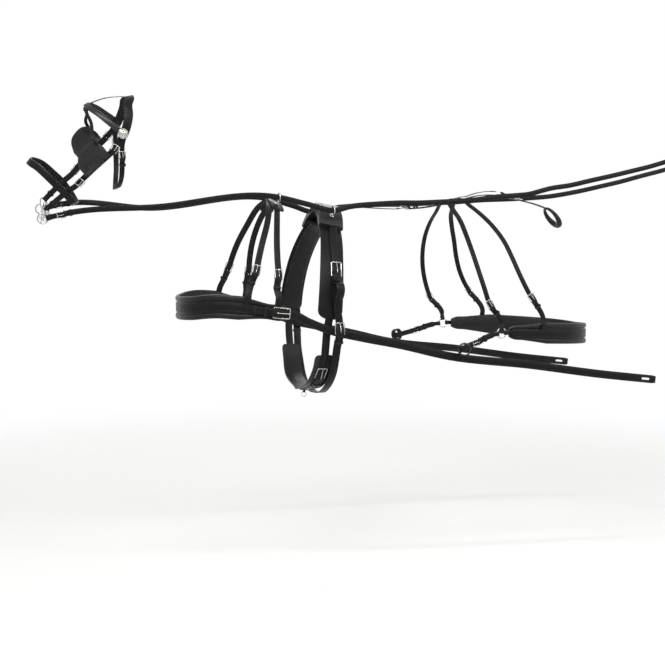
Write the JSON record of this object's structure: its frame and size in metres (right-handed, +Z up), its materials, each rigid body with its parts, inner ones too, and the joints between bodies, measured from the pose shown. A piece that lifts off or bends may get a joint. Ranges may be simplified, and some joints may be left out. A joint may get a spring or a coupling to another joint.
{
  "type": "driving harness",
  "caption": "Single driving harness with breast collar, bridle with winkers, reins, driving saddle, tugs, breeching and crupper, shaped as worn.",
  "frame": {"origin": "on the horse's back under the middle of the driving saddle, where the harness rests", "axes": "+X from the horse's nose to its tail, +Z up, -Y is the near side"},
  "size_m": [2.9203, 0.79, 1.2102],
  "materials": {
    "black_leather": "satin, dressed",
    "lined_leather": "soft matt",
    "patent_leather": "gloss, patent",
    "nickel": "polished nickel",
    "steel": "stainless, polished"
  },
  "bodies": {
    "harness": {"crown_strap": "black_leather", "noseband": "black_leather", "throat_lash": "black_leather", "browband": "patent_leather", "winker_left": "patent_leather", "winker_right": "patent_leather", "saddle_tree": "patent_leather", "rosette_left": "nickel", "rosette_right": "nickel", "rein_buckle_left": "nickel", "rein_buckle_right": "nickel", "trace_buckle_left": "nickel", "trace_buckle_right": "nickel", "tug_buckle_left": "nickel", "tug_buckle_right": "nickel", "girth_buckle_left": "nickel", "girth_buckle_right": "nickel", "bellyband_buckle_left": "nickel", "bellyband_buckle_right": "nickel", "breeching_buckle_left": "nickel", "breeching_buckle_right": "nickel", "saddle_terret_left": "nickel", "saddle_terret_right": "nickel", "bit_mouthpiece": "steel", "cheekpiece_left": "black_leather", "cheekpiece_right": "black_leather", "rein_left": "black_leather", "rein_right": "black_leather", "collar_face": "black_leather", "neck_strap": "black_leather", "trace_left": "black_leather", "trace_right": "black_leather", "backband": "black_leather", "tug_left": "black_leather", "tug_right": "black_leather", "bellyband": "black_leather", "backstrap": "black_leather", "loin_strap_front": "black_leather", "loin_strap_rear": "black_leather", "breeching_face": "black_leather", "breeching_strap_left": "black_leather", "breeching_strap_right": "black_leather", "saddle_flap_left": "black_leather", "saddle_flap_right": "black_leather", "collar_pad": "lined_leather", "breeching_pad": "lined_leather", "girth": "lined_leather", "crupper": "lined_leather"},
    "bit_ring_left": {"bit_ring_left": "steel"},
    "bit_ring_right": {"bit_ring_right": "steel"},
    "curb_chain": {"curb_chain": "steel"},
    "neck_terret_left": {"neck_terret_left": "nickel"},
    "neck_terret_right": {"neck_terret_right": "nickel"},
    "breeching_ring_left": {"breeching_ring_left": "nickel"},
    "breeching_ring_right": {"breeching_ring_right": "nickel"},
    "girth_ring": {"girth_ring": "nickel"},
    "trace_tongue_left": {"trace_buckle_tongue_left": "nickel"},
    "trace_tongue_right": {"trace_buckle_tongue_right": "nickel"},
    "tug_tongue_left": {"tug_buckle_tongue_left": "nickel"},
    "tug_tongue_right": {"tug_buckle_tongue_right": "nickel"}
  },
  "joints": [
    {"name": "bit_ring_left_turn", "type": "hinge", "parent": "harness", "child": "bit_ring_left", "pos_m": [-1.11934, 0.07504, 0.00826], "axis": [0, -0.9537, -0.3007], "continuous": true},
    {"name": "bit_ring_right_turn", "type": "hinge", "parent": "harness", "child": "bit_ring_right", "pos_m": [-1.11934, 0.20475, 0.04916], "axis": [0, -0.9537, -0.3007], "continuous": true},
    {"name": "curb_chain_swing", "type": "hinge", "parent": "harness", "child": "curb_chain", "pos_m": [-1.09921, 0.13271, 0.05151], "axis": [0, -0.9537, -0.3007], "range_deg": [-2.5, 8]},
    {"name": "neck_terret_left_swivel", "type": "hinge", "parent": "harness", "child": "neck_terret_left", "pos_m": [-0.22075, -0.06893, 0.06979], "axis": [0.2387, -0.3458, 0.9075], "range_deg": [-30, 30]},
    {"name": "neck_terret_right_swivel", "type": "hinge", "parent": "harness", "child": "neck_terret_right", "pos_m": [-0.22075, 0.06893, 0.06979], "axis": [0.2387, 0.3458, 0.9075], "range_deg": [-30, 30]},
    {"name": "breeching_ring_left_turn", "type": "hinge", "parent": "harness", "child": "breeching_ring_left", "pos_m": [0.67301, -0.29858, -0.45662], "axis": [0.0975, -0.9952, 0.0101], "continuous": true},
    {"name": "breeching_ring_right_turn", "type": "hinge", "parent": "harness", "child": "breeching_ring_right", "pos_m": [0.67301, 0.29858, -0.45662], "axis": [0.0975, 0.9952, 0.0101], "continuous": true},
    {"name": "girth_ring_swing", "type": "hinge", "parent": "harness", "child": "girth_ring", "pos_m": [-0.08803, 0, -0.70167], "axis": [1, 0, 0], "range_deg": [-60, 60]},
    {"name": "trace_tongue_left_lift", "type": "hinge", "parent": "harness", "child": "trace_tongue_left", "pos_m": [-0.28419, -0.27382, -0.3504], "axis": [-0.1418, 0.0103, -0.9898], "range_deg": [0, 6]},
    {"name": "trace_tongue_right_lift", "type": "hinge", "parent": "harness", "child": "trace_tongue_right", "pos_m": [-0.28419, 0.27382, -0.3504], "axis": [0.1418, 0.0103, 0.9898], "range_deg": [0, 6]},
    {"name": "tug_tongue_left_lift", "type": "hinge", "parent": "harness", "child": "tug_tongue_left", "pos_m": [-0.03333, -0.2655, -0.21657], "axis": [0.9936, -0.0409, -0.1055], "range_deg": [0, 6]},
    {"name": "tug_tongue_right_lift", "type": "hinge", "parent": "harness", "child": "tug_tongue_right", "pos_m": [-0.03333, 0.2655, -0.21657], "axis": [-0.9936, -0.0409, 0.1055], "range_deg": [0, 6]}
  ]
}
